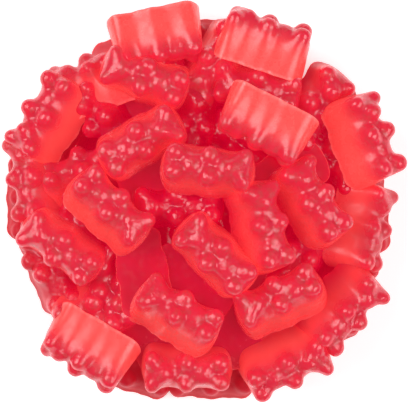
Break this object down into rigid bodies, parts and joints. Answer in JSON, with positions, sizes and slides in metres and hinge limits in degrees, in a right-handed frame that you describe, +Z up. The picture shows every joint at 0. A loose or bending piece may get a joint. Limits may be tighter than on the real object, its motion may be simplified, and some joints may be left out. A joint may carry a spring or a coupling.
{
  "type": "heap of gummy bears",
  "caption": "Round low heap of glossy, see-through red jelly bears as tipped out on a table, with bears lying every way up and a flat underside to rest on.",
  "frame": {"origin": "on the table, at the middle of the heap's flat underside", "axes": "+Z up from the table, +X to the right and +Y to the far side of the heap as seen from above"},
  "size_m": [0.0933, 0.0934, 0.0378],
  "materials": {
    "red_jelly": "glossy translucent red jelly"
  },
  "bodies": {
    "root": {"gummy_bear_heap": "red_jelly"}
  },
  "joints": []
}
